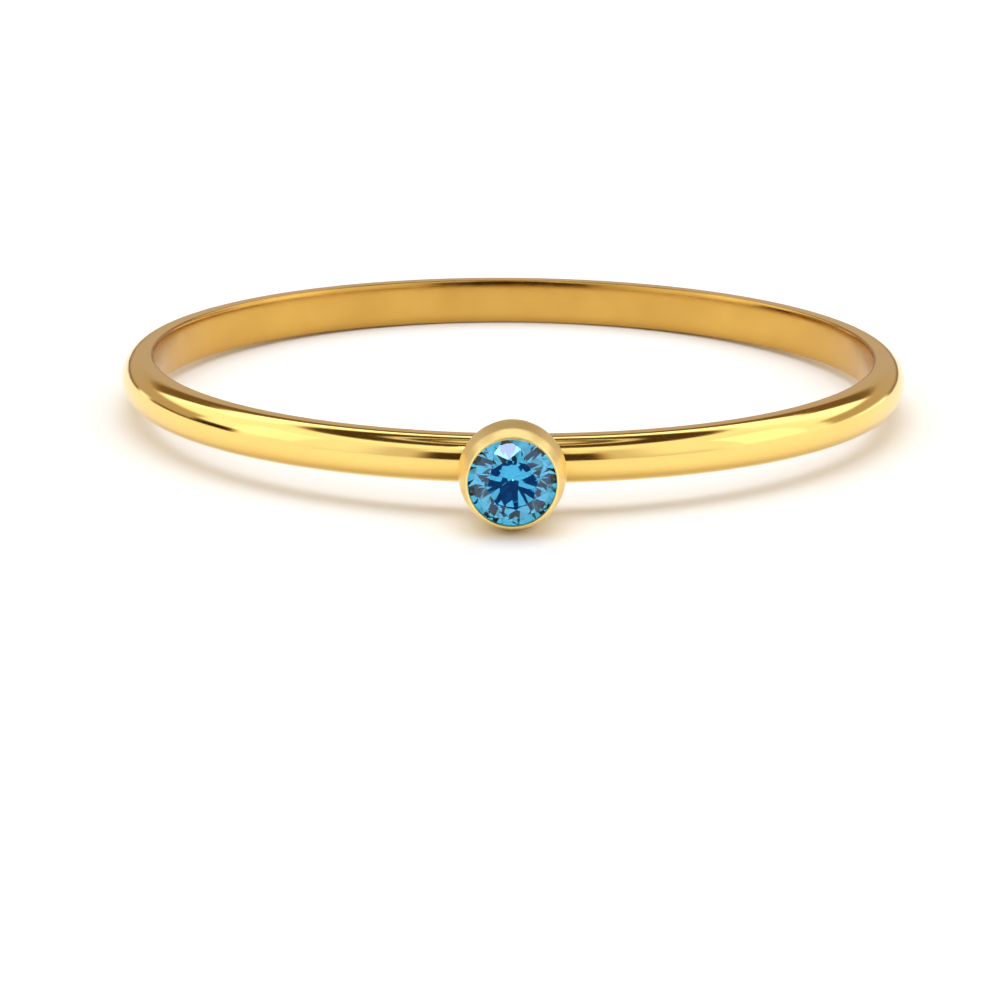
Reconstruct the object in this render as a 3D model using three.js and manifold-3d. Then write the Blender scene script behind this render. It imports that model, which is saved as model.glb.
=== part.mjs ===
// Slim stacking ring with one round blue stone in a bezel cup.
// Millimetres, +Z up. The ring lies on its side as it rests by itself, and the stone faces -Y.

import * as THREE from 'three';
import { ConvexGeometry } from 'three/addons/geometries/ConvexGeometry.js';
import { mergeVertices } from 'three/addons/utils/BufferGeometryUtils.js';
import Module from 'manifold-3d';

// Band: a hoop with a domed outside, flat sides and a slightly rounded inside.
const fingerHoleDiameter = 17.3;
const bandThickness = 0.78;
const bandWidth = 1.1;
const flatSideDepth = 0.22;
const insideRounding = 0.08;
const insideSquareness = 3.4;
const domeSquareness = 2;
const bandSegments = 120;
const domeSteps = 10;
const insideSteps = 6;

// Stone: a round brilliant.
const stoneDiameter = 2.06;
const tableShare = 0.56;
const crownAngle = 34.5;
const pavilionAngle = 40.75;
const girdleThickness = 0.045;
const starShare = 0.55;
const lowerHalfShare = 0.77;
const stoneTurn = 9;
const stoneFolds = 8;

// Bezel cup: round, widest behind its lip, narrower towards the band. A rounding is how far from
// a corner of the profile its arc begins.
const lipReach = 1.87;
const lipOverStone = 0.04;
const lipCrestDiameter = 2.08;
const lipCrestRounding = 0.04;
const lipShoulderDiameter = 2.342;
const lipShoulderBehindLip = 0.4;
const lipShoulderRounding = 0.09;
const cupWidestDiameter = 2.468;
const cupWidestBehindLip = 1;
const cupWidestRounding = 0.14;
const cupFootDiameter = 2.04;
const cupFootRounding = 0.18;
const cupSinksIntoBand = 0.12;
const lipCrestAhead = 0.12;
const cupFloorBelowCulet = 0.2;
const cupFloorDiameter = 0.88;
const seatWidth = 0.16;
const settingClearance = 0.014;
const cupSegments = 64;
const roundingSteps = 4;

// Solder joint: a low neck that flares out under the foot of the cup.
const solderNeckDiameter = 0.98;
const solderFlare = 0.19;
const solderDepth = 0.24;

// How far joined solids run into each other, and how far a cutting solid runs past the metal.
const joinOverlap = 0.02;
const cutterOvershoot = 1;

// Radii and stations that follow from the sizes above. Stations are distances from the ring's own
// axis along the setting's axis, so a larger one lies nearer to the front.
const insideRadius = fingerHoleDiameter / 2;
const outsideRadius = insideRadius + bandThickness;
const flatStartRadius = insideRadius + insideRounding;
const flatEndRadius = flatStartRadius + flatSideDepth;
const girdleRadius = stoneDiameter / 2;
const tableRadius = girdleRadius * tableShare;
const openingRadius = girdleRadius - lipOverStone;
const crownSlope = Math.tan(THREE.MathUtils.degToRad(crownAngle));
const pavilionSlope = Math.tan(THREE.MathUtils.degToRad(pavilionAngle));
const lipStation = outsideRadius + lipReach;
const stoneEdgeStation = lipStation - lipCrestAhead;
const girdleTopStation = stoneEdgeStation - lipOverStone * crownSlope - settingClearance;
const culetDepth = girdleThickness + girdleRadius * pavilionSlope;
const cupFloorStation = girdleTopStation - culetDepth - cupFloorBelowCulet;
const cupFootStation = outsideRadius - cupSinksIntoBand;

const wasm = await Module();
wasm.setup();

/** Merges a geometry's vertices, drops its empty triangles and returns it as a solid. */
function toSolid(geometry) {
  const bare = geometry.clone();
  bare.deleteAttribute('normal');
  bare.deleteAttribute('uv');
  const merged = mergeVertices(bare, 1e-4);
  const corners = [];
  for (let i = 0; i < merged.index.count; i += 3) {
    const a = merged.index.getX(i);
    const b = merged.index.getX(i + 1);
    const c = merged.index.getX(i + 2);
    if (a !== b && b !== c && c !== a) {
      corners.push(a, b, c);
    }
  }
  return new wasm.Manifold(new wasm.Mesh({
    numProp: 3,
    vertProperties: new Float32Array(merged.attributes.position.array),
    triVerts: new Uint32Array(corners),
  }));
}

/** Turns a solid back into a geometry. */
function toGeometry(solid) {
  const mesh = solid.getMesh();
  const geometry = new THREE.BufferGeometry();
  geometry.setAttribute('position', new THREE.BufferAttribute(new Float32Array(mesh.vertProperties), 3));
  geometry.setIndex(new THREE.BufferAttribute(new Uint32Array(mesh.triVerts), 1));
  return geometry;
}

/** Raises a sine or cosine to the power that a squarer or rounder arc needs, keeping its sign. */
function squared(value, squareness) {
  return Math.sign(value) * Math.abs(value) ** (2 / squareness);
}

/** The closed section of the band: up the domed outside, then down the rounded inside. */
function bandSection() {
  const points = [];
  for (let i = 0; i <= domeSteps; i += 1) {
    const angle = -Math.PI / 2 + (Math.PI * i) / domeSteps;
    const depth = (outsideRadius - flatEndRadius) * squared(Math.cos(angle), domeSquareness);
    const height = (bandWidth / 2) * squared(Math.sin(angle), domeSquareness);
    points.push(new THREE.Vector2(flatEndRadius + depth, height));
  }
  for (let i = 0; i <= insideSteps; i += 1) {
    const angle = Math.PI / 2 + (Math.PI * i) / insideSteps;
    const depth = insideRounding * squared(Math.cos(angle), insideSquareness);
    const height = (bandWidth / 2) * squared(Math.sin(angle), insideSquareness);
    points.push(new THREE.Vector2(flatStartRadius + depth, height));
  }
  points.push(points[0].clone());
  return points;
}

/** The hoop, turned about the ring's own axis, with its mid plane at height zero. */
function band() {
  const hoop = new THREE.LatheGeometry(bandSection(), bandSegments);
  hoop.rotateX(Math.PI / 2);
  return toSolid(hoop);
}

/** Turns a profile of radius and station about the setting's axis, which points to -Y. */
function turnedAboutSetting(profile) {
  const points = profile.map(([radius, station]) => new THREE.Vector2(radius, station));
  const body = new THREE.LatheGeometry(points, cupSegments);
  body.rotateX(Math.PI);
  return toSolid(body);
}

/** A point on the way from one profile point to another, at a share from 0 to 1. */
function partWay([radius, station], [otherRadius, otherStation], share) {
  return [radius + (otherRadius - radius) * share, station + (otherStation - station) * share];
}

/** The arc that rounds one corner of a profile between its two neighbours. */
function roundedCorner(before, corner, after) {
  const [radius, station, rounding] = corner;
  const start = partWay(corner, before, rounding / Math.hypot(before[0] - radius, before[1] - station));
  const end = partWay(corner, after, rounding / Math.hypot(after[0] - radius, after[1] - station));
  const arc = [];
  for (let i = 0; i <= roundingSteps; i += 1) {
    const share = i / roundingSteps;
    arc.push(partWay(partWay(start, corner, share), partWay(corner, end, share), share));
  }
  return arc;
}

/** The outside of the cup, from its foot in the band up to the burnished lip. */
function cupOutside() {
  const middleOfFoot = [0, cupFootStation];
  const middleOfLip = [0, lipStation];
  const foot = [cupFootDiameter / 2, cupFootStation, cupFootRounding];
  const widest = [cupWidestDiameter / 2, lipStation - cupWidestBehindLip, cupWidestRounding];
  const shoulder = [lipShoulderDiameter / 2, lipStation - lipShoulderBehindLip, lipShoulderRounding];
  const crest = [lipCrestDiameter / 2, lipStation, lipCrestRounding];
  return turnedAboutSetting([
    middleOfFoot,
    ...roundedCorner(middleOfFoot, foot, widest),
    ...roundedCorner(foot, widest, shoulder),
    ...roundedCorner(widest, shoulder, crest),
    ...roundedCorner(shoulder, crest, middleOfLip),
    middleOfLip,
  ]);
}

/** The hollow of the cup: the opening in the lip, the seat that carries the girdle, and the floor. */
function cupHollow() {
  const wallRadius = girdleRadius + settingClearance;
  const seatRadius = wallRadius - seatWidth;
  const seatTop = girdleTopStation - girdleThickness - settingClearance;
  const seatFoot = seatTop - seatWidth * pavilionSlope;
  const mouthRadius = lipCrestDiameter / 2 - lipCrestRounding;
  return turnedAboutSetting([
    [0, cupFloorStation],
    [cupFloorDiameter / 2, cupFloorStation],
    [seatRadius, seatFoot],
    [wallRadius, seatTop],
    [wallRadius, girdleTopStation + settingClearance],
    [openingRadius, stoneEdgeStation],
    [mouthRadius, lipStation],
    [mouthRadius, lipStation + cutterOvershoot],
    [0, lipStation + cutterOvershoot],
  ]);
}

/** The neck of solder between cup and band. */
function solderCollar() {
  const neckRadius = solderNeckDiameter / 2;
  const bottom = [neckRadius, cupFootStation - solderDepth];
  const corner = [neckRadius, cupFootStation, solderFlare];
  const rim = [neckRadius + solderFlare, cupFootStation];
  return turnedAboutSetting([
    [0, cupFootStation - solderDepth],
    bottom,
    ...roundedCorner(bottom, corner, rim),
    [neckRadius + solderFlare, cupFootStation + joinOverlap],
    [0, cupFootStation + joinOverlap],
  ]);
}

/** Band, collar and cup as one piece of metal, hollowed for the stone. */
function bandWithBezel() {
  return toGeometry(band().add(solderCollar()).add(cupOutside()).subtract(cupHollow()));
}

/** A point of the stone: radius, turn in degrees about the setting's axis, and station. */
function stonePoint(radius, turn, station) {
  const angle = THREE.MathUtils.degToRad(90 + stoneTurn + turn);
  return new THREE.Vector3(radius * Math.cos(angle), -station, radius * Math.sin(angle));
}

/** The brilliant: table, stars, kites, girdle halves and pavilion, as the hull of its corners. */
function stone() {
  const fold = 360 / stoneFolds;
  const halfFold = Math.cos(THREE.MathUtils.degToRad(fold / 2));
  const tableStation = girdleTopStation + (girdleRadius - tableRadius) * crownSlope;
  const tableEdge = tableRadius * halfFold;
  const starRadius = tableEdge + starShare * (girdleRadius - tableEdge);
  const starStation = girdleTopStation + (girdleRadius - starRadius * halfFold) * crownSlope;
  const girdleFootStation = girdleTopStation - girdleThickness;
  const culetStation = girdleTopStation - culetDepth;
  const lowerRadius = (1 - lowerHalfShare) * girdleRadius;
  const lowerStation = culetStation + lowerRadius * halfFold * pavilionSlope;
  const corners = [stonePoint(0, 0, culetStation)];
  for (let i = 0; i < stoneFolds; i += 1) {
    const onKite = i * fold;
    const between = onKite + fold / 2;
    corners.push(
      stonePoint(tableRadius, onKite, tableStation),
      stonePoint(starRadius, between, starStation),
      stonePoint(girdleRadius, onKite, girdleTopStation),
      stonePoint(girdleRadius, between, girdleTopStation),
      stonePoint(girdleRadius, onKite, girdleFootStation),
      stonePoint(girdleRadius, between, girdleFootStation),
      stonePoint(lowerRadius, between, lowerStation),
    );
  }
  return toGeometry(toSolid(new ConvexGeometry(corners)));
}

/** Lowest height of one half of the metal, in front (-1) or behind (+1), after a tilt about X. */
function lowestAfterTilt(geometry, half, tilt) {
  const position = geometry.attributes.position;
  let lowest = Infinity;
  for (let i = 0; i < position.count; i += 1) {
    if (position.getY(i) * half > 0) {
      const height = position.getY(i) * Math.sin(tilt) + position.getZ(i) * Math.cos(tilt);
      lowest = Math.min(lowest, height);
    }
  }
  return lowest;
}

/** The tilt at which the ring rests on the cup's side in front and on the band's edge behind. */
function restingTilt(geometry) {
  let low = -Math.PI / 18;
  let high = 0;
  for (let i = 0; i < 60; i += 1) {
    const middle = (low + high) / 2;
    const frontIsHigher = lowestAfterTilt(geometry, -1, middle) > lowestAfterTilt(geometry, 1, middle);
    if (frontIsHigher) {
      low = middle;
    } else {
      high = middle;
    }
  }
  return (low + high) / 2;
}

/** Lays the given geometries down together and centres them over the origin. */
function layDown(geometries, metal) {
  const tilt = restingTilt(metal);
  const around = new THREE.Box3();
  geometries.forEach((geometry) => {
    geometry.rotateX(tilt);
    geometry.computeBoundingBox();
    around.union(geometry.boundingBox);
  });
  const middle = (around.min.y + around.max.y) / 2;
  const floor = around.min.z;
  geometries.forEach((geometry) => geometry.translate(0, -middle, -floor));
}

/** A named piece with its own finish. */
function piece(name, geometry, color, roughness, metalness) {
  const mesh = new THREE.Mesh(geometry, new THREE.MeshStandardMaterial({ color, roughness, metalness }));
  mesh.name = name;
  return mesh;
}

const metalGeometry = bandWithBezel();
const stoneGeometry = stone();
layDown([metalGeometry, stoneGeometry], metalGeometry);

const ring = new THREE.Group();
ring.name = 'stackable_ring';
ring.add(piece('band_with_bezel', metalGeometry, 0xe6b54a, 0.18, 1.0));
ring.add(piece('stone', stoneGeometry, 0x2a8fd0, 0.05, 0.0));

export default ring;
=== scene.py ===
"""Visual model of a slim gold stacking ring with one round blue stone in a bezel cup.

The ring lies on its side on a pale studio floor, as it rests by itself. Sizes are in millimetres.
Blender's objects are in metres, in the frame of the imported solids: +Z up, and the stone faces -Y.
"""

from __future__ import annotations

import logging
import math
from dataclasses import dataclass, field
from enum import Enum
from typing import Sequence

import bmesh
import bpy
from mathutils import Matrix, Quaternion, Vector

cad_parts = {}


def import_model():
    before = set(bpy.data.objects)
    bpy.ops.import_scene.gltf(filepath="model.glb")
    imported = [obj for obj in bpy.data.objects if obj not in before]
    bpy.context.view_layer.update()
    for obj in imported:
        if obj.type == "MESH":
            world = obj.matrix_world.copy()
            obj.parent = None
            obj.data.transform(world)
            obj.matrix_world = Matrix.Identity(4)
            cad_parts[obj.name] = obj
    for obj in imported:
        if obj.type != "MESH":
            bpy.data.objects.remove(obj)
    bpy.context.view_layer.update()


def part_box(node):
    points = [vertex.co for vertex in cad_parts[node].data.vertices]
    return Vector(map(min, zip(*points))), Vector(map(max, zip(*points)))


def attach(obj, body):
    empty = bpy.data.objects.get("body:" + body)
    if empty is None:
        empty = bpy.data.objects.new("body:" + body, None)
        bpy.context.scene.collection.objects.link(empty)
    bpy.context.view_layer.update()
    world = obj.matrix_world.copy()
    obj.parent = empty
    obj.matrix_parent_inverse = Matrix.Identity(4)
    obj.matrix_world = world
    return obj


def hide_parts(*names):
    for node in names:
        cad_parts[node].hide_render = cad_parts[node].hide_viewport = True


LOG = logging.getLogger("stacking_ring")
MM = 0.001

Colour = tuple[float, float, float]
Place = tuple[float, float, float]
Ends = tuple[float, float]
Socket = bpy.types.NodeSocket

WHITE: Colour = (1.0, 1.0, 1.0)
WHOLE: Ends = (0.0, 1.0)

# Profile points closer than this, in millimetres, count as one
SAME_POINT = 1e-6

# Points of the swept band closer than this, in metres, are welded
WELD = 1e-7

# Numbers of the Mix node's sockets for the share, the two colours and the mixed colour
MIX_SHARE, MIX_NO, MIX_YES, MIX_RESULT = 0, 6, 7, 2


# Sizes of the ring


@dataclass(frozen=True)
class HoopSizes:
    """Sizes of the band in millimetres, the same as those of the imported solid.

    Attributes:
        finger_hole: Diameter of the finger hole.
        thickness: Radial thickness of the band.
        width: Width of the band along the ring's axis.
        flat_side: Radial depth of each flat side.
        inside_rounding: Depth of the rounding inside.
        inside_squareness: How square the inside's edges are; 2 is an ellipse.
        dome_squareness: How square the dome's shoulders are; 2 is an ellipse.
    """

    finger_hole: float = 17.3
    thickness: float = 0.78
    width: float = 1.1
    flat_side: float = 0.22
    inside_rounding: float = 0.08
    inside_squareness: float = 3.4
    dome_squareness: float = 2.0

    @property
    def outside_radius(self) -> float:
        """Outer radius of the band."""
        return self.finger_hole / 2 + self.thickness

    @property
    def flat_end_radius(self) -> float:
        """Radius at which the flat sides end and the dome begins."""
        return self.finger_hole / 2 + self.inside_rounding + self.flat_side


@dataclass(frozen=True)
class Corner:
    """A corner of a turned profile.

    Attributes:
        radius: Distance from the axis of turning, in millimetres.
        station: Distance from the ring's own axis, in millimetres.
        rounding: How far from the corner its arc begins, in millimetres. Without one it is sharp.
    """

    radius: float
    station: float
    rounding: float = 0.0

    def toward(self, other: Corner) -> Vector:
        """Gives the point at which the arc begins on the side of another corner."""
        here, there = self.point(), other.point()
        return here + (there - here).normalized() * self.rounding

    def point(self) -> Vector:
        """Gives the corner as a point of radius and station."""
        return Vector((self.radius, self.station))


@dataclass(frozen=True)
class SettingSizes:
    """Sizes of the bezel cup and its stone in millimetres.

    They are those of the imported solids, but for the last two roundings, which the solids leave sharp.

    Attributes:
        lip_reach: How far the lip stands over the band's outside.
        crest: Diameter of the lip's crest.
        crest_rounding: Rounding of the crest.
        crest_ahead: How far the crest stands ahead of the edge that holds the stone.
        shoulder: Diameter at the lip's shoulder.
        shoulder_behind: How far the shoulder lies behind the crest.
        shoulder_rounding: Rounding of the shoulder.
        widest: Largest diameter of the cup, before its rounding.
        widest_behind: How far the widest ring lies behind the crest.
        widest_rounding: Rounding of the widest ring.
        foot: Diameter of the cup's foot.
        foot_rounding: Rounding of the foot's edge.
        sinks_in: How far the foot sinks into the band's crown.
        floor: Diameter of the cup's floor.
        floor_below: Depth of the cup's floor below the stone's point.
        seat: Width of the seat under the girdle.
        clearance: Gap between stone and metal.
        stone: Diameter of the stone at its girdle.
        over_stone: How far the lip reaches over the stone.
        crown_angle: Angle of the stone's kites to its table, in degrees.
        pavilion_angle: Angle of the stone's pavilion to its table, in degrees.
        girdle: Thickness of the girdle.
        neck: Diameter of the solder neck.
        neck_flare: How far the neck flares out under the cup.
        neck_depth: Depth of the solder neck.
        mouth_rounding: Rounding between the crest and the mouth.
        edge_rounding: Rounding of the edge that holds the stone.
    """

    lip_reach: float = 1.87
    crest: float = 2.08
    crest_rounding: float = 0.04
    crest_ahead: float = 0.12
    shoulder: float = 2.342
    shoulder_behind: float = 0.4
    shoulder_rounding: float = 0.09
    widest: float = 2.468
    widest_behind: float = 1.0
    widest_rounding: float = 0.14
    foot: float = 2.04
    foot_rounding: float = 0.18
    sinks_in: float = 0.12
    floor: float = 0.88
    floor_below: float = 0.2
    seat: float = 0.16
    clearance: float = 0.014
    stone: float = 2.06
    over_stone: float = 0.04
    crown_angle: float = 34.5
    pavilion_angle: float = 40.75
    girdle: float = 0.045
    neck: float = 0.98
    neck_flare: float = 0.19
    neck_depth: float = 0.24
    mouth_rounding: float = 0.008
    edge_rounding: float = 0.006


@dataclass(frozen=True)
class CupShape:
    """The profile of the cup: radius and distance from the ring's own axis.

    Attributes:
        hoop: The band's sizes.
        sizes: The setting's sizes.
    """

    hoop: HoopSizes
    sizes: SettingSizes

    @property
    def lip_station(self) -> float:
        """Distance of the lip's crest from the ring's own axis."""
        return self.hoop.outside_radius + self.sizes.lip_reach

    @property
    def foot_station(self) -> float:
        """Distance of the cup's foot from the ring's own axis."""
        return self.hoop.outside_radius - self.sizes.sinks_in

    @property
    def edge_station(self) -> float:
        """Distance of the edge that holds the stone from the ring's own axis."""
        return self.lip_station - self.sizes.crest_ahead

    @property
    def girdle_station(self) -> float:
        """Distance of the top of the stone's girdle from the ring's own axis."""
        slope = math.tan(math.radians(self.sizes.crown_angle))
        return self.edge_station - self.sizes.over_stone * slope - self.sizes.clearance

    def outside(self) -> list[Corner]:
        """Lists the corners of the neck, the foot, the wall and the lip, up to the crest.

        Returns:
            The corners in order, from the neck's middle to the crest.
        """
        s = self.sizes
        deep = self.foot_station - s.neck_depth
        return [
            Corner(0.0, deep),
            Corner(s.neck / 2, deep),
            Corner(s.neck / 2, self.foot_station, s.neck_flare),
            Corner(s.foot / 2, self.foot_station, s.foot_rounding),
            Corner(s.widest / 2, self.lip_station - s.widest_behind, s.widest_rounding),
            Corner(s.shoulder / 2, self.lip_station - s.shoulder_behind, s.shoulder_rounding),
            Corner(s.crest / 2, self.lip_station, s.crest_rounding),
        ]

    def holding_edge(self) -> Corner:
        """Gives the corner of the edge that holds the stone."""
        s = self.sizes
        return Corner(s.stone / 2 - s.over_stone, self.edge_station, s.edge_rounding)

    def inside(self) -> list[Corner]:
        """Lists the corners of the mouth, the seat and the floor, from the crest inwards.

        Returns:
            The corners in order, to the floor's middle.
        """
        s = self.sizes
        slope = math.tan(math.radians(s.pavilion_angle))
        wall = s.stone / 2 + s.clearance
        seat_top = self.girdle_station - s.girdle - s.clearance
        floor = self.girdle_station - s.girdle - s.stone / 2 * slope - s.floor_below
        return [
            Corner(s.crest / 2 - s.crest_rounding, self.lip_station, s.mouth_rounding),
            self.holding_edge(),
            Corner(wall, self.girdle_station + s.clearance),
            Corner(wall, seat_top),
            Corner(wall - s.seat, seat_top - s.seat * slope),
            Corner(s.floor / 2, floor),
            Corner(0.0, floor),
        ]


def rounded_profile(corners: Sequence[Corner], steps: int) -> list[Vector]:
    """Rounds the inner corners of a profile.

    Args:
        corners: The corners in order. The first and the last stay sharp.
        steps: Steps of each arc.

    Returns:
        The points of radius and station, with no two alike side by side.
    """
    points = [corners[0].point()]
    for before, corner, after in zip(corners, corners[1:], corners[2:]):
        if not corner.rounding:
            points.append(corner.point())
            continue
        start, middle, end = corner.toward(before), corner.point(), corner.toward(after)
        for i in range(steps + 1):
            share = i / steps
            points.append(start.lerp(middle, share).lerp(middle.lerp(end, share), share))
    points.append(corners[-1].point())
    kept = [a for a, b in zip(points, points[1:]) if (b - a).length > SAME_POINT]
    return [*kept, points[-1]]


@dataclass(frozen=True)
class RestPose:
    """How the ring lies: leaning on its cup in front and on the band's edge behind.

    Attributes:
        lean: How far the front is raised, in radians.
        middle_y: Where the hoop's own middle comes to lie, in millimetres.
        middle_z: Height of the hoop's own middle over the floor, in millimetres.
    """

    lean: float
    middle_y: float
    middle_z: float

    @classmethod
    def of(cls, hoop: HoopSizes, outside: Sequence[Vector], back_end: float) -> RestPose:
        """Works out how the ring leans and where it lies.

        Args:
            hoop: The band's sizes.
            outside: The profile of the cup's outside.
            back_end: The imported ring's greatest Y, in millimetres.

        Returns:
            The resting place.
        """
        edge, half = hoop.flat_end_radius, hoop.width / 2
        lean = math.atan(max((point.x - half) / (point.y + edge) for point in outside))
        dome = hoop.outside_radius - edge
        reach = edge * math.cos(lean) + math.hypot(dome * math.cos(lean), half * math.sin(lean))
        height = half * math.cos(lean) + edge * math.sin(lean)
        return cls(lean, back_end - reach, height)

    def matrix(self) -> Matrix:
        """Gives the move from the hoop's own axes, with its axis upright, to the floor."""
        place = Matrix.Translation((0.0, self.middle_y * MM, self.middle_z * MM))
        return place @ Matrix.Rotation(-self.lean, 4, "X")

    def seen(self, point: Place) -> Vector:
        """Moves a point of the hoop's own axes, in millimetres, to its place in metres."""
        return self.matrix() @ (Vector(point) * MM)


# Tools for meshes and node trees


def opaque(colour: Colour) -> tuple[float, float, float, float]:
    """Gives a colour its full opacity, as a colour socket takes it."""
    return (*colour, 1.0)


def to_object(name: str, mesh: bpy.types.Mesh) -> bpy.types.Object:
    """Puts a mesh into the scene as an object at the origin.

    Args:
        name: The object's name.
        mesh: Its mesh, already in its place.

    Returns:
        The new object.
    """
    made = bpy.data.objects.new(name, mesh)
    bpy.context.scene.collection.objects.link(made)
    return made


def face_outwards(mesh: bpy.types.Mesh) -> None:
    """Turns the faces of a closed mesh outwards, if they face inwards.

    Args:
        mesh: The closed mesh, which is changed in place.
    """
    bulk = bmesh.new()
    bulk.from_mesh(mesh)
    if bulk.calc_volume(signed=True) < 0:
        bmesh.ops.reverse_faces(bulk, faces=bulk.faces)
        bulk.to_mesh(mesh)
    bulk.free()


@dataclass
class NodeBench:
    """Lays out nodes in one tree.

    Attributes:
        tree: The node tree.
    """

    tree: bpy.types.NodeTree

    def node(self, kind: str, inputs: dict[str | int, object], **settings: object) -> bpy.types.Node:
        """Adds a node.

        Args:
            kind: Blender's name of the node type.
            inputs: A socket or a value for each input, by name or number.
            **settings: The node's own settings.

        Returns:
            The new node.
        """
        made = self.tree.nodes.new(kind)
        for key, value in settings.items():
            setattr(made, key, value)
        for key, value in inputs.items():
            if isinstance(value, Socket):
                self.tree.links.new(value, made.inputs[key])
            else:
                made.inputs[key].default_value = value
        return made

    def calc(self, operation: str, *values: Socket | float) -> Socket:
        """Adds a Math node on sockets or numbers and returns its result."""
        return self.node("ShaderNodeMath", dict(enumerate(values)), operation=operation).outputs[0]

    def spread(self, value: Socket, source: Ends, to: Ends) -> Socket:
        """Maps a pattern from one range of numbers to another, without going past its ends."""
        inputs = {0: value, 1: source[0], 2: source[1], 3: to[0], 4: to[1]}
        return self.node("ShaderNodeMapRange", inputs).outputs[0]

    def blend(self, share: Socket, no: Colour, yes: Colour) -> Socket:
        """Mixes two colours by a share from 0 to 1."""
        inputs = {MIX_SHARE: share, MIX_NO: opaque(no), MIX_YES: opaque(yes)}
        return self.node("ShaderNodeMix", inputs, data_type="RGBA").outputs[MIX_RESULT]


@dataclass
class ShapeBench(NodeBench):
    """Lays out one Geometry Nodes tree and runs it.

    Attributes:
        tree: The node tree.
        entry: The node that gives the tree's named inputs.
        exit: The node that takes its result.
    """

    entry: bpy.types.Node = field(init=False)
    exit: bpy.types.Node = field(init=False)

    def __post_init__(self) -> None:
        """Gives the tree its way in and out."""
        self.tree.interface.new_socket("Geometry", in_out="OUTPUT", socket_type="NodeSocketGeometry")
        self.entry = self.tree.nodes.new("NodeGroupInput")
        self.exit = self.tree.nodes.new("NodeGroupOutput")

    def size(self, name: str, kind: str = "NodeSocketFloat") -> Socket:
        """Adds a named input to the tree and returns its socket."""
        self.tree.interface.new_socket(name, in_out="INPUT", socket_type=kind)
        return self.entry.outputs[name]

    def pick(self, test: Socket, no: Socket, yes: Socket) -> Socket:
        """Picks one of two numbers by a test."""
        return self.node("GeometryNodeSwitch", {0: test, 1: no, 2: yes}, input_type="FLOAT").outputs[0]

    def finish(self, shape: Socket, material: Socket) -> None:
        """Ends the tree in Realize Instances and Set Material.

        Args:
            shape: The finished shape.
            material: Its material.
        """
        real = self.node("GeometryNodeRealizeInstances", {0: shape})
        dressed = self.node("GeometryNodeSetMaterial", {"Geometry": real.outputs[0], "Material": material})
        self.tree.links.new(dressed.outputs[0], self.exit.inputs[0])

    def run(self, values: dict[str, object]) -> bpy.types.Mesh:
        """Runs the tree on an empty object and keeps the result as a plain mesh.

        Args:
            values: A value for each named input.

        Returns:
            The tree's result.
        """
        carrier = to_object(self.tree.name + "_carrier", bpy.data.meshes.new(self.tree.name))
        modifier = carrier.modifiers.new(self.tree.name, "NODES")
        modifier.node_group = self.tree
        for item in self.tree.interface.items_tree:
            if item.item_type == "SOCKET" and item.in_out == "INPUT":
                modifier[item.identifier] = values[item.name]
        carrier.update_tag()
        graph = bpy.context.evaluated_depsgraph_get()
        mesh = bpy.data.meshes.new_from_object(carrier.evaluated_get(graph))
        carrier.modifiers.remove(modifier)
        bpy.data.objects.remove(carrier)
        return mesh


@dataclass
class ShaderBench(NodeBench):
    """Lays out one material's nodes around its main shader.

    Attributes:
        tree: The material's node tree.
        material: The material.
    """

    material: bpy.types.Material

    @classmethod
    def of(cls, name: str) -> ShaderBench:
        """Makes a material with its main shader.

        Args:
            name: The material's name.

        Returns:
            The bench, ready for more nodes.
        """
        material = bpy.data.materials.new(name)
        material.use_nodes = True
        return cls(material.node_tree, material)

    def feed(self, **values: object) -> None:
        """Sets or wires inputs of the main shader, whose names are given with underscores.

        Args:
            **values: A socket or a value for each input.
        """
        shader = self.tree.nodes["Principled BSDF"]
        for key, value in values.items():
            socket = shader.inputs[key.replace("_", " ")]
            if isinstance(value, Socket):
                self.tree.links.new(value, socket)
            else:
                socket.default_value = value


# Finishes


@dataclass(frozen=True)
class Mottle:
    """A pattern of soft, uneven spots.

    Attributes:
        scale: Spots for one unit of the coordinates.
        detail: Layers of finer spots.
        ends: Levels of the pattern at which the spots begin and at which they are full.
        coarseness: Weight of the finer layers.
    """

    scale: float
    detail: float
    ends: Ends
    coarseness: float = 0.5

    def noise(self, bench: NodeBench, place: Socket) -> Socket:
        """Adds the bare pattern in the given coordinates."""
        inputs = {"Vector": place, "Scale": self.scale, "Detail": self.detail, "Roughness": self.coarseness}
        return bench.node("ShaderNodeTexNoise", inputs).outputs[0]

    def spots(self, bench: NodeBench, place: Socket, to: Ends = WHOLE) -> Socket:
        """Adds the pattern, with the first value of a pair between the spots and the second on them."""
        return bench.spread(self.noise(bench, place), self.ends, to)


class Polish(Enum):
    """How a gold surface is finished, as the roughness of its smoothest and its softest spots."""

    MIRROR = (0.075, 0.12)
    WORN = (0.14, 0.24)
    SATIN = (0.32, 0.4)
    CAST = (0.4, 0.55)


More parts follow.
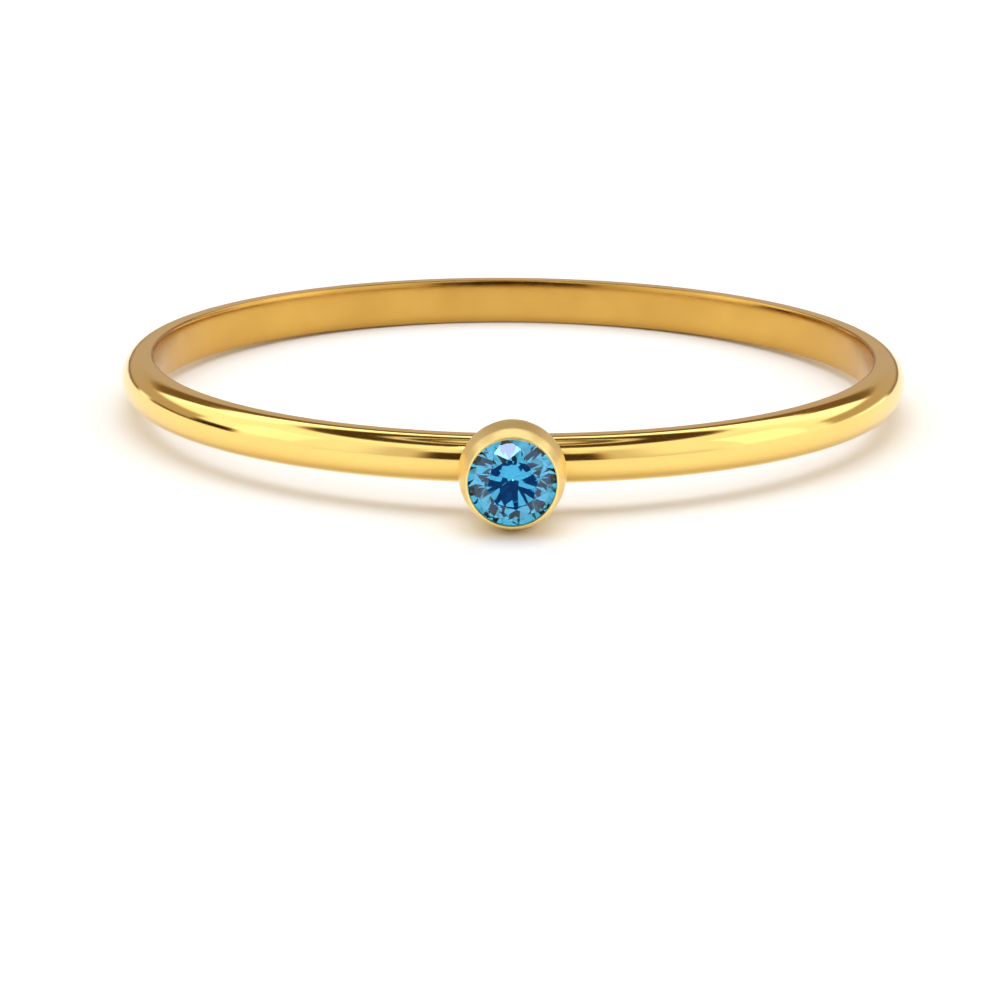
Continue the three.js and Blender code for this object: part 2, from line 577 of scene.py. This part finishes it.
@dataclass(frozen=True)
class GoldFinish:
    """Yellow gold with the fine marks of its last polish.

    Attributes:
        name: The material's name.
        polish: How far it is polished.
        tint: Colour of the metal.
        deep_tint: Colour of the metal where the plating is a trace thicker.
        plating: Where the plating is thicker.
        handling: Where handling has softened the polish.
        grain: The polishing lines, before they are drawn out.
        grain_depth: Depth of the polishing lines, in millimetres.
        grain_wear: Roughness that the lines add.
        along: Polishing lines for one unit of the map across them.
        across: Breaks in the lines for one unit of the map along them.
    """

    name: str
    polish: Polish
    tint: Colour = (0.93, 0.665, 0.21)
    deep_tint: Colour = (0.91, 0.635, 0.19)
    plating: Mottle = Mottle(420.0, 3.0, (0.35, 0.65))
    handling: Mottle = Mottle(1500.0, 5.0, (0.35, 0.7), 0.6)
    grain: Mottle = Mottle(1.0, 4.0, (0.45, 0.8), 0.55)
    grain_depth: float = 0.0003
    grain_wear: float = 0.03
    along: float = 260.0
    across: float = 30.0

    def material(self) -> bpy.types.Material:
        """Builds the metal: its tint, polishing lines, handling marks and sheen.

        Returns:
            The new material.
        """
        bench = ShaderBench.of(self.name)
        place = bench.node("ShaderNodeTexCoord", {})
        spot = place.outputs["Object"]
        tint = bench.blend(self.plating.spots(bench, spot), self.tint, self.deep_tint)
        soft = self.handling.spots(bench, spot, self.polish.value)
        lines = self.lines(bench, place.outputs["UV"])
        deep = bench.spread(lines, self.grain.ends, WHOLE)
        worn = bench.calc("MULTIPLY_ADD", deep, self.grain_wear, soft)
        bump = bench.node("ShaderNodeBump", {"Height": lines, "Distance": self.grain_depth * MM})
        bench.feed(Base_Color=tint, Metallic=1.0, Roughness=worn, Normal=bump.outputs[0])
        return bench.material

    def lines(self, bench: ShaderBench, chart: Socket) -> Socket:
        """Draws fine polishing lines that run along the surface's own map.

        Args:
            bench: The material that is being built.
            chart: The piece's own map.

        Returns:
            The pattern, from 0 to 1.
        """
        drawn_out = {"Vector": chart, "Scale": (self.across, self.along, 1.0)}
        stretch = bench.node("ShaderNodeMapping", drawn_out)
        return self.grain.noise(bench, stretch.outputs[0])


@dataclass(frozen=True)
class BlueStoneFinish:
    """Clear sky-blue cut stone with sharp, polished facets.

    Attributes:
        facing: The way that the stone's table faces.
        name: The material's name.
        body: Colour that the depth of the stone lets through.
        depth: How fast the depth takes colour away, per metre.
        bending: Refractive index.
        crown_painted_glint: Painted colour of the slanted facets' reflections, a dim blue.
        table_painted_shade: Painted shade on what the table mirrors, a dark navy.
        painted_shade_turn: Cosines of the angle between a facet and the table. Below the first it
            takes the crown's painted glint, above the second the table's painted shade.
        wear: Where the facets are worn.
        worn: Roughness of the facets from their best to their most worn spots.
    """

    facing: Place
    name: str = "sky_blue_stone"
    body: Colour = (0.0, 0.69, 0.89)
    depth: float = 1000.0
    bending: float = 2.15
    crown_painted_glint: Colour = (0.42, 0.52, 0.82)
    table_painted_shade: Colour = (0.0, 0.12, 0.8)
    painted_shade_turn: Ends = (0.95, 0.98)
    wear: Mottle = Mottle(2600.0, 4.0, (0.45, 0.75))
    worn: Ends = (0.0, 0.012)

    def material(self) -> bpy.types.Material:
        """Builds the stone: clear facets over a body that colours light by its depth.

        Returns:
            The new material.
        """
        bench = ShaderBench.of(self.name)
        place = bench.node("ShaderNodeTexCoord", {})
        # The facets' reflections are painted: a dim blue on the crown, a dark navy painted shade on the
        # table.
        way = bench.node("ShaderNodeNewGeometry", {}).outputs["True Normal"]
        level = bench.node("ShaderNodeVectorMath", {0: way, 1: self.facing}, operation="DOT_PRODUCT")
        table = bench.spread(level.outputs["Value"], self.painted_shade_turn, WHOLE)
        glint = bench.blend(table, self.crown_painted_glint, self.table_painted_shade)
        bench.feed(
            Base_Color=opaque(WHITE),
            Roughness=self.wear.spots(bench, place.outputs["Object"], self.worn),
            IOR=self.bending,
            Transmission_Weight=1.0,
            Specular_Tint=glint,
        )
        body = bench.node(
            "ShaderNodeVolumeAbsorption",
            {"Color": opaque(self.body), "Density": self.depth},
        )
        way_out = bench.tree.nodes["Material Output"]
        bench.tree.links.new(body.outputs[0], way_out.inputs["Volume"])
        return bench.material


@dataclass(frozen=True)
class PaleFloorFinish:
    """Matt white studio board.

    Attributes:
        name: The material's name.
        tint: Colour of the board.
        coat: Where its coat is rougher.
        rough: Roughness of its smoothest and its roughest spots.
    """

    name: str = "pale_floor"
    tint: Colour = (0.93, 0.93, 0.93)
    coat: Mottle = Mottle(90.0, 3.0, (0.3, 0.7))
    rough: Ends = (0.55, 0.65)

    def material(self) -> bpy.types.Material:
        """Builds the board, with a trace of uneven matt coat.

        Returns:
            The new material.
        """
        bench = ShaderBench.of(self.name)
        place = bench.node("ShaderNodeTexCoord", {})
        rough = self.coat.spots(bench, place.outputs["Object"], self.rough)
        bench.feed(Base_Color=opaque(self.tint), Roughness=rough)
        return bench.material


# The ring's pieces


@dataclass
class Band:
    """The hoop: domed outside, flat sides, slightly rounded inside.

    Attributes:
        sizes: The band's sizes.
        rest: Where the ring lies.
        finish: Its metal.
        lining_wear_and_shade: Metal of its inside: worn rougher by the finger, darker tinted as painted
            shade.
        turns: Faces round the hoop.
        section_points: Faces round its section.
    """

    sizes: HoopSizes
    rest: RestPose
    finish: GoldFinish
    lining_wear_and_shade: GoldFinish
    turns: int = 480
    section_points: int = 96

    def bench(self) -> ShapeBench:
        """Lays out the tree that sweeps the section round the hoop by its rule.

        Returns:
            The bench that holds the finished tree.
        """
        bench = ShapeBench(bpy.data.node_groups.new("band_sweep", "GeometryNodeTree"))
        size = {name: bench.size(name) for name in (
            "Finger Hole Radius", "Thickness", "Width", "Flat Side", "Inside Rounding",
            "Inside Squareness", "Dome Squareness",
        )}
        turns = bench.size("Turns", "NodeSocketInt")
        points = bench.size("Section Points", "NodeSocketInt")
        material = bench.size("Metal", "NodeSocketMaterial")
        sheet = bench.node("GeometryNodeMeshGrid", {
            "Size X": 1.0,
            "Size Y": 1.0,
            "Vertices X": bench.calc("ADD", turns, 1.0),
            "Vertices Y": bench.calc("ADD", points, 1.0),
        })
        here = bench.node("GeometryNodeInputPosition", {}).outputs[0]
        spot = bench.node("ShaderNodeSeparateXYZ", {0: here})
        along = bench.calc("MULTIPLY", bench.calc("ADD", spot.outputs[0], 0.5), math.tau)
        around = bench.calc("MULTIPLY", bench.calc("ADD", spot.outputs[1], 0.5), math.tau)
        radius, height = self.section(bench, around, size)
        place = bench.node("ShaderNodeCombineXYZ", {
            0: bench.calc("MULTIPLY", radius, bench.calc("COSINE", along)),
            1: bench.calc("MULTIPLY", radius, bench.calc("SINE", along)),
            2: height,
        })
        chart = bench.node("GeometryNodeStoreNamedAttribute", {
            "Geometry": sheet.outputs["Mesh"],
            "Name": "UVMap",
            "Value": sheet.outputs["UV Map"],
        }, data_type="FLOAT2", domain="CORNER")
        moved = {"Geometry": chart.outputs[0], "Position": place.outputs[0]}
        hoop = bench.node("GeometryNodeSetPosition", moved)
        welded = {"Geometry": hoop.outputs[0], "Distance": WELD}
        closed = bench.node("GeometryNodeMergeByDistance", welded)
        shaded = {"Geometry": closed.outputs[0], "Shade Smooth": True}
        smooth = bench.node("GeometryNodeSetShadeSmooth", shaded)
        bench.finish(smooth.outputs[0], material)
        return bench

    def section(
        self, bench: ShapeBench, angle: Socket, size: dict[str, Socket]
    ) -> tuple[Socket, Socket]:
        """Adds the rule for the band's section: dome outside, flat sides, slight rounding inside.

        Args:
            bench: The tree that is being built.
            angle: The turn round the section.
            size: The named sizes.

        Returns:
            The radius and the height of the section's point.
        """
        cosine = bench.calc("COSINE", angle)
        sine = bench.calc("SINE", angle)
        outside = bench.node(
            "FunctionNodeCompare",
            {"A": cosine, "B": 0.0},
            data_type="FLOAT",
            operation="GREATER_EQUAL",
        ).outputs[0]
        squareness = bench.pick(outside, size["Inside Squareness"], size["Dome Squareness"])
        power = bench.calc("DIVIDE", 2.0, squareness)
        reach = bench.calc("POWER", bench.calc("ABSOLUTE", cosine), power)
        rise = bench.calc("POWER", bench.calc("ABSOLUTE", sine), power)
        flat_start = bench.calc("ADD", size["Finger Hole Radius"], size["Inside Rounding"])
        flat_end = bench.calc("ADD", flat_start, size["Flat Side"])
        outer = bench.calc("ADD", size["Finger Hole Radius"], size["Thickness"])
        dome = bench.calc("MULTIPLY_ADD", bench.calc("SUBTRACT", outer, flat_end), reach, flat_end)
        inner = bench.calc("SUBTRACT", flat_start, bench.calc("MULTIPLY", size["Inside Rounding"], reach))
        radius = bench.pick(outside, inner, dome)
        signed = bench.calc("MULTIPLY", rise, bench.calc("SIGN", sine))
        height = bench.calc("MULTIPLY", bench.calc("MULTIPLY", size["Width"], 0.5), signed)
        return radius, height

    def build(self) -> bpy.types.Object:
        """Sweeps the band, lays it down and dresses it.

        Returns:
            The finished band.
        """
        metal = self.finish.material()
        mesh = self.bench().run({
            "Finger Hole Radius": self.sizes.finger_hole / 2 * MM,
            "Thickness": self.sizes.thickness * MM,
            "Width": self.sizes.width * MM,
            "Flat Side": self.sizes.flat_side * MM,
            "Inside Rounding": self.sizes.inside_rounding * MM,
            "Inside Squareness": self.sizes.inside_squareness,
            "Dome Squareness": self.sizes.dome_squareness,
            "Turns": self.turns,
            "Section Points": self.section_points,
            "Metal": metal,
        })
        mesh.materials.clear()
        mesh.materials.append(metal)
        mesh.materials.append(self.lining_wear_and_shade.material())
        # Faces inside the hoop take the lining, whose darker tint is painted shade.
        inside = (self.sizes.finger_hole / 2 + self.sizes.inside_rounding) * MM
        for face in mesh.polygons:
            face.material_index = int(face.center.xy.length < inside)
        mesh.transform(self.rest.matrix())
        face_outwards(mesh)
        return to_object("band", mesh)


@dataclass
class BezelCup:
    """The cup: solder neck, foot, wall, burnished lip and the seat inside.

    Attributes:
        shape: Its profile.
        rest: Where the ring lies.
        outside_finish: Metal of the wall and the lip.
        hollow_shade_finish: Metal of the hollow under the stone, with a dark tint that is painted shade.
        turns: Faces round the cup.
        steps: Steps of each rounding of the profile.
        crease: Angle between two faces above which their edge is sharp, in degrees.
    """

    shape: CupShape
    rest: RestPose
    outside_finish: GoldFinish
    hollow_shade_finish: GoldFinish
    turns: int = 192
    steps: int = 12
    crease: float = 38.0

    def lathe(self, profile: Sequence[Vector], inside_from: int) -> bpy.types.Mesh:
        """Turns a profile about the setting's axis, which points to -Y.

        Args:
            profile: Radius and station of each point, from the neck's middle to the floor's.
            inside_from: First point of the profile that belongs to the hollow.

        Returns:
            The closed mesh, with the hollow's faces in the second material.
        """
        bulk = bmesh.new()
        chart = bulk.loops.layers.uv.new("UVMap")
        rings = [self.ring(bulk, point) for point in profile]
        for j, (low, high) in enumerate(zip(rings, rings[1:])):
            for i in range(self.turns):
                k = i + 1
                spots = [(low, i, j), (low, k, j), (high, k, j + 1), (high, i, j + 1)]
                corners: dict[bmesh.types.BMVert, tuple[int, int]] = {}
                for ring, turn, span in spots:
                    corners.setdefault(ring[turn % len(ring)], (turn, span))
                face = bulk.faces.new(list(corners))
                face.smooth = True
                face.material_index = int(j >= inside_from)
                for loop in face.loops:
                    turn, span = corners[loop.vert]
                    loop[chart].uv = (turn / self.turns, span / len(profile))
        mesh = bpy.data.meshes.new("bezel_cup")
        bulk.to_mesh(mesh)
        bulk.free()
        return mesh

    def ring(self, bulk: bmesh.types.BMesh, point: Vector) -> list[bmesh.types.BMVert]:
        """Adds the ring of one profile point, or a single point where it lies on the axis.

        Args:
            bulk: The mesh that is being built.
            point: Radius and station of the profile point.

        Returns:
            The new points in order round the axis.
        """
        count = self.turns if point.x > 0.0 else 1
        angles = [math.tau * i / count for i in range(count)]
        return [
            bulk.verts.new(Vector((point.x * math.cos(a), -point.y, point.x * math.sin(a))) * MM)
            for a in angles
        ]

    def build(self) -> bpy.types.Object:
        """Turns the cup, lays it down and dresses it.

        Returns:
            The finished cup.
        """
        corners = [*self.shape.outside(), *self.shape.inside()]
        profile = rounded_profile(corners, self.steps)
        held = self.shape.holding_edge().point()
        edge = min(range(len(profile)), key=lambda i: (profile[i] - held).length)
        mesh = self.lathe(profile, edge)
        mesh.transform(self.rest.matrix())
        face_outwards(mesh)
        mesh.materials.append(self.outside_finish.material())
        mesh.materials.append(self.hollow_shade_finish.material())
        mesh.set_sharp_from_angle(angle=math.radians(self.crease))
        return to_object("bezel_cup", mesh)


@dataclass
class CutStone:
    """The brilliant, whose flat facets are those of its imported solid.

    Attributes:
        node: The stone's object.
        finish: Its material.
    """

    node: bpy.types.Object
    finish: BlueStoneFinish

    def dress(self) -> bpy.types.Object:
        """Gives the stone its material.

        Returns:
            The finished stone.
        """
        material = self.finish.material()
        self.node.data.materials.clear()
        self.node.data.materials.append(material)
        return self.node


# The studio


@dataclass(frozen=True)
class Softbox:
    """A soft lamp.

    Attributes:
        name: The lamp's name.
        place: Where it stands, in millimetres.
        width: Width in millimetres.
        height: Height in millimetres.
        power: Radiance of its face.
        mirrored: Whether polished surfaces mirror it.
    """

    name: str
    place: Place
    width: float
    height: float
    power: float
    mirrored: bool = True

    def build(self) -> bpy.types.Object:
        """Sets the lamp up, turned to the ring.

        Returns:
            The new lamp.
        """
        lamp = bpy.data.lights.new(self.name, "AREA")
        lamp.shape = "RECTANGLE"
        lamp.size, lamp.size_y = self.width * MM, self.height * MM
        lamp.energy = self.power * lamp.size * lamp.size_y * math.pi
        made = bpy.data.objects.new(self.name, lamp)
        bpy.context.scene.collection.objects.link(made)
        made.visible_glossy = self.mirrored
        made.location = Vector(self.place) * MM
        made.rotation_mode = "QUATERNION"
        made.rotation_quaternion = (-made.location).to_track_quat("-Z", "Y")
        return made


@dataclass(frozen=True)
class PhotoCamera:
    """The camera at the picture's angle.

    Attributes:
        rest: Where the ring lies.
        elevation: Angle of its view above the floor, in degrees.
        focal: Distance of the picture's plane, in pixels.
        scale: Pixels for a millimetre at the aimed point.
        aim: Height over the band's mid plane of the aimed point on the ring's axis, in millimetres.
        pixel: Where that point shows, in pixels from the upper left corner.
        roll: Turn of the picture in degrees.
        side: Side of the square picture in pixels.
        sensor: Width of the sensor in millimetres.
        reach: The nearest and the farthest place that it sees, in metres.
    """

    rest: RestPose
    elevation: float = 14.2058
    focal: float = 5900.0
    scale: float = 41.45
    aim: float = 0.55
    pixel: tuple[float, float] = (513.4, 352.0)
    roll: float = 0.48
    side: float = 1000.0
    sensor: float = 36.0
    reach: Ends = (0.01, 10.0)

    def build(self) -> bpy.types.Object:
        """Sets the camera up and makes it the scene's own.

        Returns:
            The new camera.
        """
        lens = bpy.data.cameras.new("camera")
        lens.sensor_width = self.sensor
        lens.lens = lens.sensor_width * self.focal / self.side
        lens.clip_start, lens.clip_end = self.reach
        made = bpy.data.objects.new("camera", lens)
        bpy.context.scene.collection.objects.link(made)
        lift = math.radians(self.elevation)
        back = Vector((0.0, -math.cos(lift), math.sin(lift)))
        made.location = self.rest.seen((0.0, 0.0, self.aim)) + back * (self.focal / self.scale * MM)
        made.rotation_mode = "QUATERNION"
        level = Quaternion((0.0, 0.0, 1.0), math.radians(self.roll))
        made.rotation_quaternion = (-back).to_track_quat("-Z", "Y") @ level @ self.pixel_turn()
        bpy.context.scene.camera = made
        return made

    def pixel_turn(self) -> Quaternion:
        """Gives the turn that brings the aimed point from the middle to its pixel.

        Returns:
            The turn in the camera's own axes.
        """
        off = Vector((
            (self.pixel[0] - self.side / 2) / self.focal,
            -(self.pixel[1] - self.side / 2) / self.focal,
            -1.0,
        ))
        return off.normalized().rotation_difference(Vector((0.0, 0.0, -1.0)))


@dataclass(frozen=True)
class WallField:
    """A soft-edged field of light or shade on the studio's walls, as seen from the ring.

    Attributes:
        azimuth: Its middle, in degrees from the front towards +X.
        elevation: Its middle, in degrees above the floor.
        half_width: Half its width, in degrees.
        half_height: Half its height, in degrees.
        edge: Width of its soft edge, in degrees.
        bright: Its brightness.
    """

    azimuth: float
    elevation: float
    half_width: float
    half_height: float
    edge: float
    bright: float


@dataclass
class Studio:
    """Floor, walls, lamps and camera.

    Attributes:
        floor_finish: The floor's board.
        fields: Fields of light and shade on the walls, each painted over those before it.
        lamps: The soft lamps.
        camera: The camera.
        wall: Brightness of the bare walls.
        shade: Colour of the darkest fields.
        shade_ends: Brightness at which a field has the shade's full colour, and at which it is white.
        floor_side: Side of the floor in millimetres.
        floor_gap: How far the floor lies under the ring, in millimetres.
        bounces: How often light may bounce in all, and through the stone.
        mirror_bounces: How often light may bounce between mirroring faces.
    """

    floor_finish: PaleFloorFinish
    fields: Sequence[WallField]
    lamps: Sequence[Softbox]
    camera: PhotoCamera
    wall: float = 1.36
    shade: Colour = (1.0, 0.6, 0.26)
    shade_ends: Ends = (0.15, 0.9)
    floor_side: float = 1600.0
    floor_gap: float = 0.002
    bounces: int = 24
    mirror_bounces: int = 16

    def floor(self) -> bpy.types.Object:
        """Lays the floor just under the ring.

        Returns:
            The new floor.
        """
        half, low = self.floor_side / 2 * MM, -self.floor_gap * MM
        mesh = bpy.data.meshes.new("floor")
        mesh.from_pydata(
            [(-half, -half, low), (half, -half, low), (half, half, low), (-half, half, low)],
            [],
            [(0, 1, 2, 3)],
        )
        mesh.materials.append(self.floor_finish.material())
        made = to_object("floor", mesh)
        return made

    def walls(self) -> None:
        """Paints the walls by direction, seen from the ring."""
        world = bpy.data.worlds.new("studio_room")
        world.use_nodes = True
        bench = NodeBench(world.node_tree)
        way = bench.node("ShaderNodeTexCoord", {}).outputs["Generated"]
        parts = bench.node("ShaderNodeSeparateXYZ", {0: way})
        forward = bench.calc("MULTIPLY", parts.outputs["Y"], -1.0)
        azimuth = bench.calc("ARCTAN2", parts.outputs["X"], forward)
        elevation = bench.calc("ARCSINE", parts.outputs["Z"])
        # The bare walls' brightness, as a socket that the fields can be laid over
        bright = bench.calc("ADD", self.wall, 0.0)
        for spot in self.fields:
            share = self.share(bench, azimuth, elevation, spot)
            gap = bench.calc("SUBTRACT", spot.bright, bright)
            bright = bench.calc("MULTIPLY_ADD", gap, share, bright)
        ground = bench.tree.nodes["Background"]
        light = bench.spread(bright, self.shade_ends, WHOLE)
        colour = bench.blend(light, self.shade, WHITE)
        bench.tree.links.new(bright, ground.inputs["Strength"])
        bench.tree.links.new(colour, ground.inputs["Color"])
        bpy.context.scene.world = world

    @staticmethod
    def share(bench: NodeBench, azimuth: Socket, elevation: Socket, spot: WallField) -> Socket:
        """Works out how much of a field shows in a direction.

        Args:
            bench: The room's node tree.
            azimuth: The direction's azimuth in radians.
            elevation: The direction's elevation in radians.
            spot: The field.

        Returns:
            The share, from 0 outside the field to 1 inside it.
        """
        shares = []
        for angle, middle, half in (
            (azimuth, spot.azimuth, spot.half_width),
            (elevation, spot.elevation, spot.half_height),
        ):
            turned = bench.calc("SUBTRACT", angle, math.radians(middle))
            wrapped = bench.calc("WRAP", turned, -math.pi, math.pi)
            away = bench.calc("ABSOLUTE", wrapped)
            outer, inner = math.radians(half + spot.edge / 2), math.radians(half - spot.edge / 2)
            inputs = {0: away, 1: outer, 2: inner, 3: 0.0, 4: 1.0}
            ease = bench.node("ShaderNodeMapRange", inputs, interpolation_type="SMOOTHSTEP")
            shares.append(ease.outputs[0])
        return bench.calc("MULTIPLY", *shares)

    def build(self) -> None:
        """Sets up the whole studio."""
        self.camera.build()
        self.floor()
        self.walls()
        for lamp in self.lamps:
            lamp.build()
        look = bpy.context.scene
        look.view_settings.view_transform = "Standard"
        look.cycles.max_bounces = self.bounces
        look.cycles.glossy_bounces = self.mirror_bounces
        look.cycles.transmission_bounces = self.bounces


# Each field covers those before it. Azimuth 0 is the way that the stone faces, 180 is behind.
FIELDS = (
    # Wide soft board in front
    WallField(azimuth=0, elevation=18, half_width=62, half_height=22, edge=14, bright=0.8),
    # Lighter boards at both sides of it
    WallField(azimuth=-60, elevation=22, half_width=18, half_height=22, edge=16, bright=1.2),
    WallField(azimuth=70, elevation=30, half_width=30, half_height=24, edge=18, bright=1.2),
    # Low dark strip that draws the streak on the band's left
    WallField(azimuth=-109, elevation=3, half_width=22, half_height=8, edge=5, bright=0.02),
    # Bright boards that make the band's ends pale
    WallField(azimuth=140, elevation=20, half_width=22, half_height=26, edge=14, bright=1.9),
    WallField(azimuth=-152, elevation=24, half_width=20, half_height=22, edge=14, bright=1.9),
    # Dark board behind. The band's flat side mirrors its lighter foot, the lip's top its bright head
    WallField(azimuth=180, elevation=18, half_width=40, half_height=27, edge=6, bright=0.18),
    WallField(azimuth=180, elevation=12, half_width=75, half_height=9, edge=6, bright=0.55),
    WallField(azimuth=180, elevation=46, half_width=60, half_height=6, edge=4, bright=1.9),
    # Dark ceiling, with a light middle and a thin bright line round it
    WallField(azimuth=0, elevation=90, half_width=200, half_height=34, edge=5, bright=0.08),
    WallField(azimuth=0, elevation=90, half_width=200, half_height=11, edge=5, bright=0.9),
    WallField(azimuth=0, elevation=72, half_width=200, half_height=1.6, edge=2, bright=1.0),
    # Bright board over the camera, and the dark round the camera that the stone mirrors
    WallField(azimuth=-2, elevation=38, half_width=26, half_height=10, edge=7, bright=1.15),
    WallField(azimuth=0, elevation=12, half_width=26, half_height=17, edge=7, bright=0.06),
    WallField(azimuth=0, elevation=30, half_width=15, half_height=15, edge=6, bright=0.06),
    # Small bright field that the stone's upper left kite mirrors
    WallField(azimuth=-17.6, elevation=57.2, half_width=3, half_height=3, edge=2, bright=9.0),
)

LAMPS = (
    Softbox("top_softbox", place=(0, 40, 260), width=260, height=200, power=2.5, mirrored=False),
    Softbox("left_softbox", place=(-260, -60, 120), width=120, height=160, power=0.3),
    Softbox("right_softbox", place=(260, -40, 110), width=120, height=160, power=0.4),
)


# The whole scene


def report(piece: bpy.types.Object) -> None:
    """Logs a piece's size and how many faces it has."""
    sides = " x ".join(f"{side / MM:.2f}" for side in piece.dimensions)
    LOG.info("%s: %d faces, %s mm", piece.name, len(piece.data.polygons), sides)


def main() -> None:
    """Loads the frame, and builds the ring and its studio."""
    logging.basicConfig(level=logging.INFO, format="%(name)s: %(message)s")
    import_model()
    hoop, setting = HoopSizes(), SettingSizes()
    shape = CupShape(hoop, setting)
    outside = rounded_profile(shape.outside(), BezelCup.steps)
    rest = RestPose.of(hoop, outside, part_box("band_with_bezel")[1][1] / MM)
    LOG.info("lean %.4f deg, middle %.5f %.5f mm", math.degrees(rest.lean), rest.middle_y, rest.middle_z)
    Studio(PaleFloorFinish(), FIELDS, LAMPS, PhotoCamera(rest)).build()
    band = Band(
        hoop,
        rest,
        GoldFinish("mirror_gold", Polish.MIRROR),
        # The inside's darker tint is painted shade, its roughness wear.
        GoldFinish(
            "worn_gold_painted_shade", Polish.WORN, tint=(0.66, 0.385, 0.085), deep_tint=(0.58, 0.33, 0.068)
        ),
    ).build()
    cup = BezelCup(
        shape,
        rest,
        GoldFinish("satin_gold", Polish.SATIN, tint=(0.96, 0.75, 0.31), deep_tint=(0.94, 0.72, 0.28)),
        # The hollow's dark tint is painted shade, its roughness a cast finish.
        GoldFinish("cast_gold_painted_shade", Polish.CAST, tint=(0.33, 0.25, 0.17), deep_tint=(0.28, 0.21, 0.14)),
    ).build()
    for piece in (band, cup):
        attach(piece, "root")
        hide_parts("band_with_bezel")
        report(piece)
    facing = (0.0, -math.cos(rest.lean), math.sin(rest.lean))
    stone = CutStone(bpy.data.objects["stone"], BlueStoneFinish(facing)).dress()
    report(stone)
    bpy.context.view_layer.update()


if __name__ == "__main__":
    main()
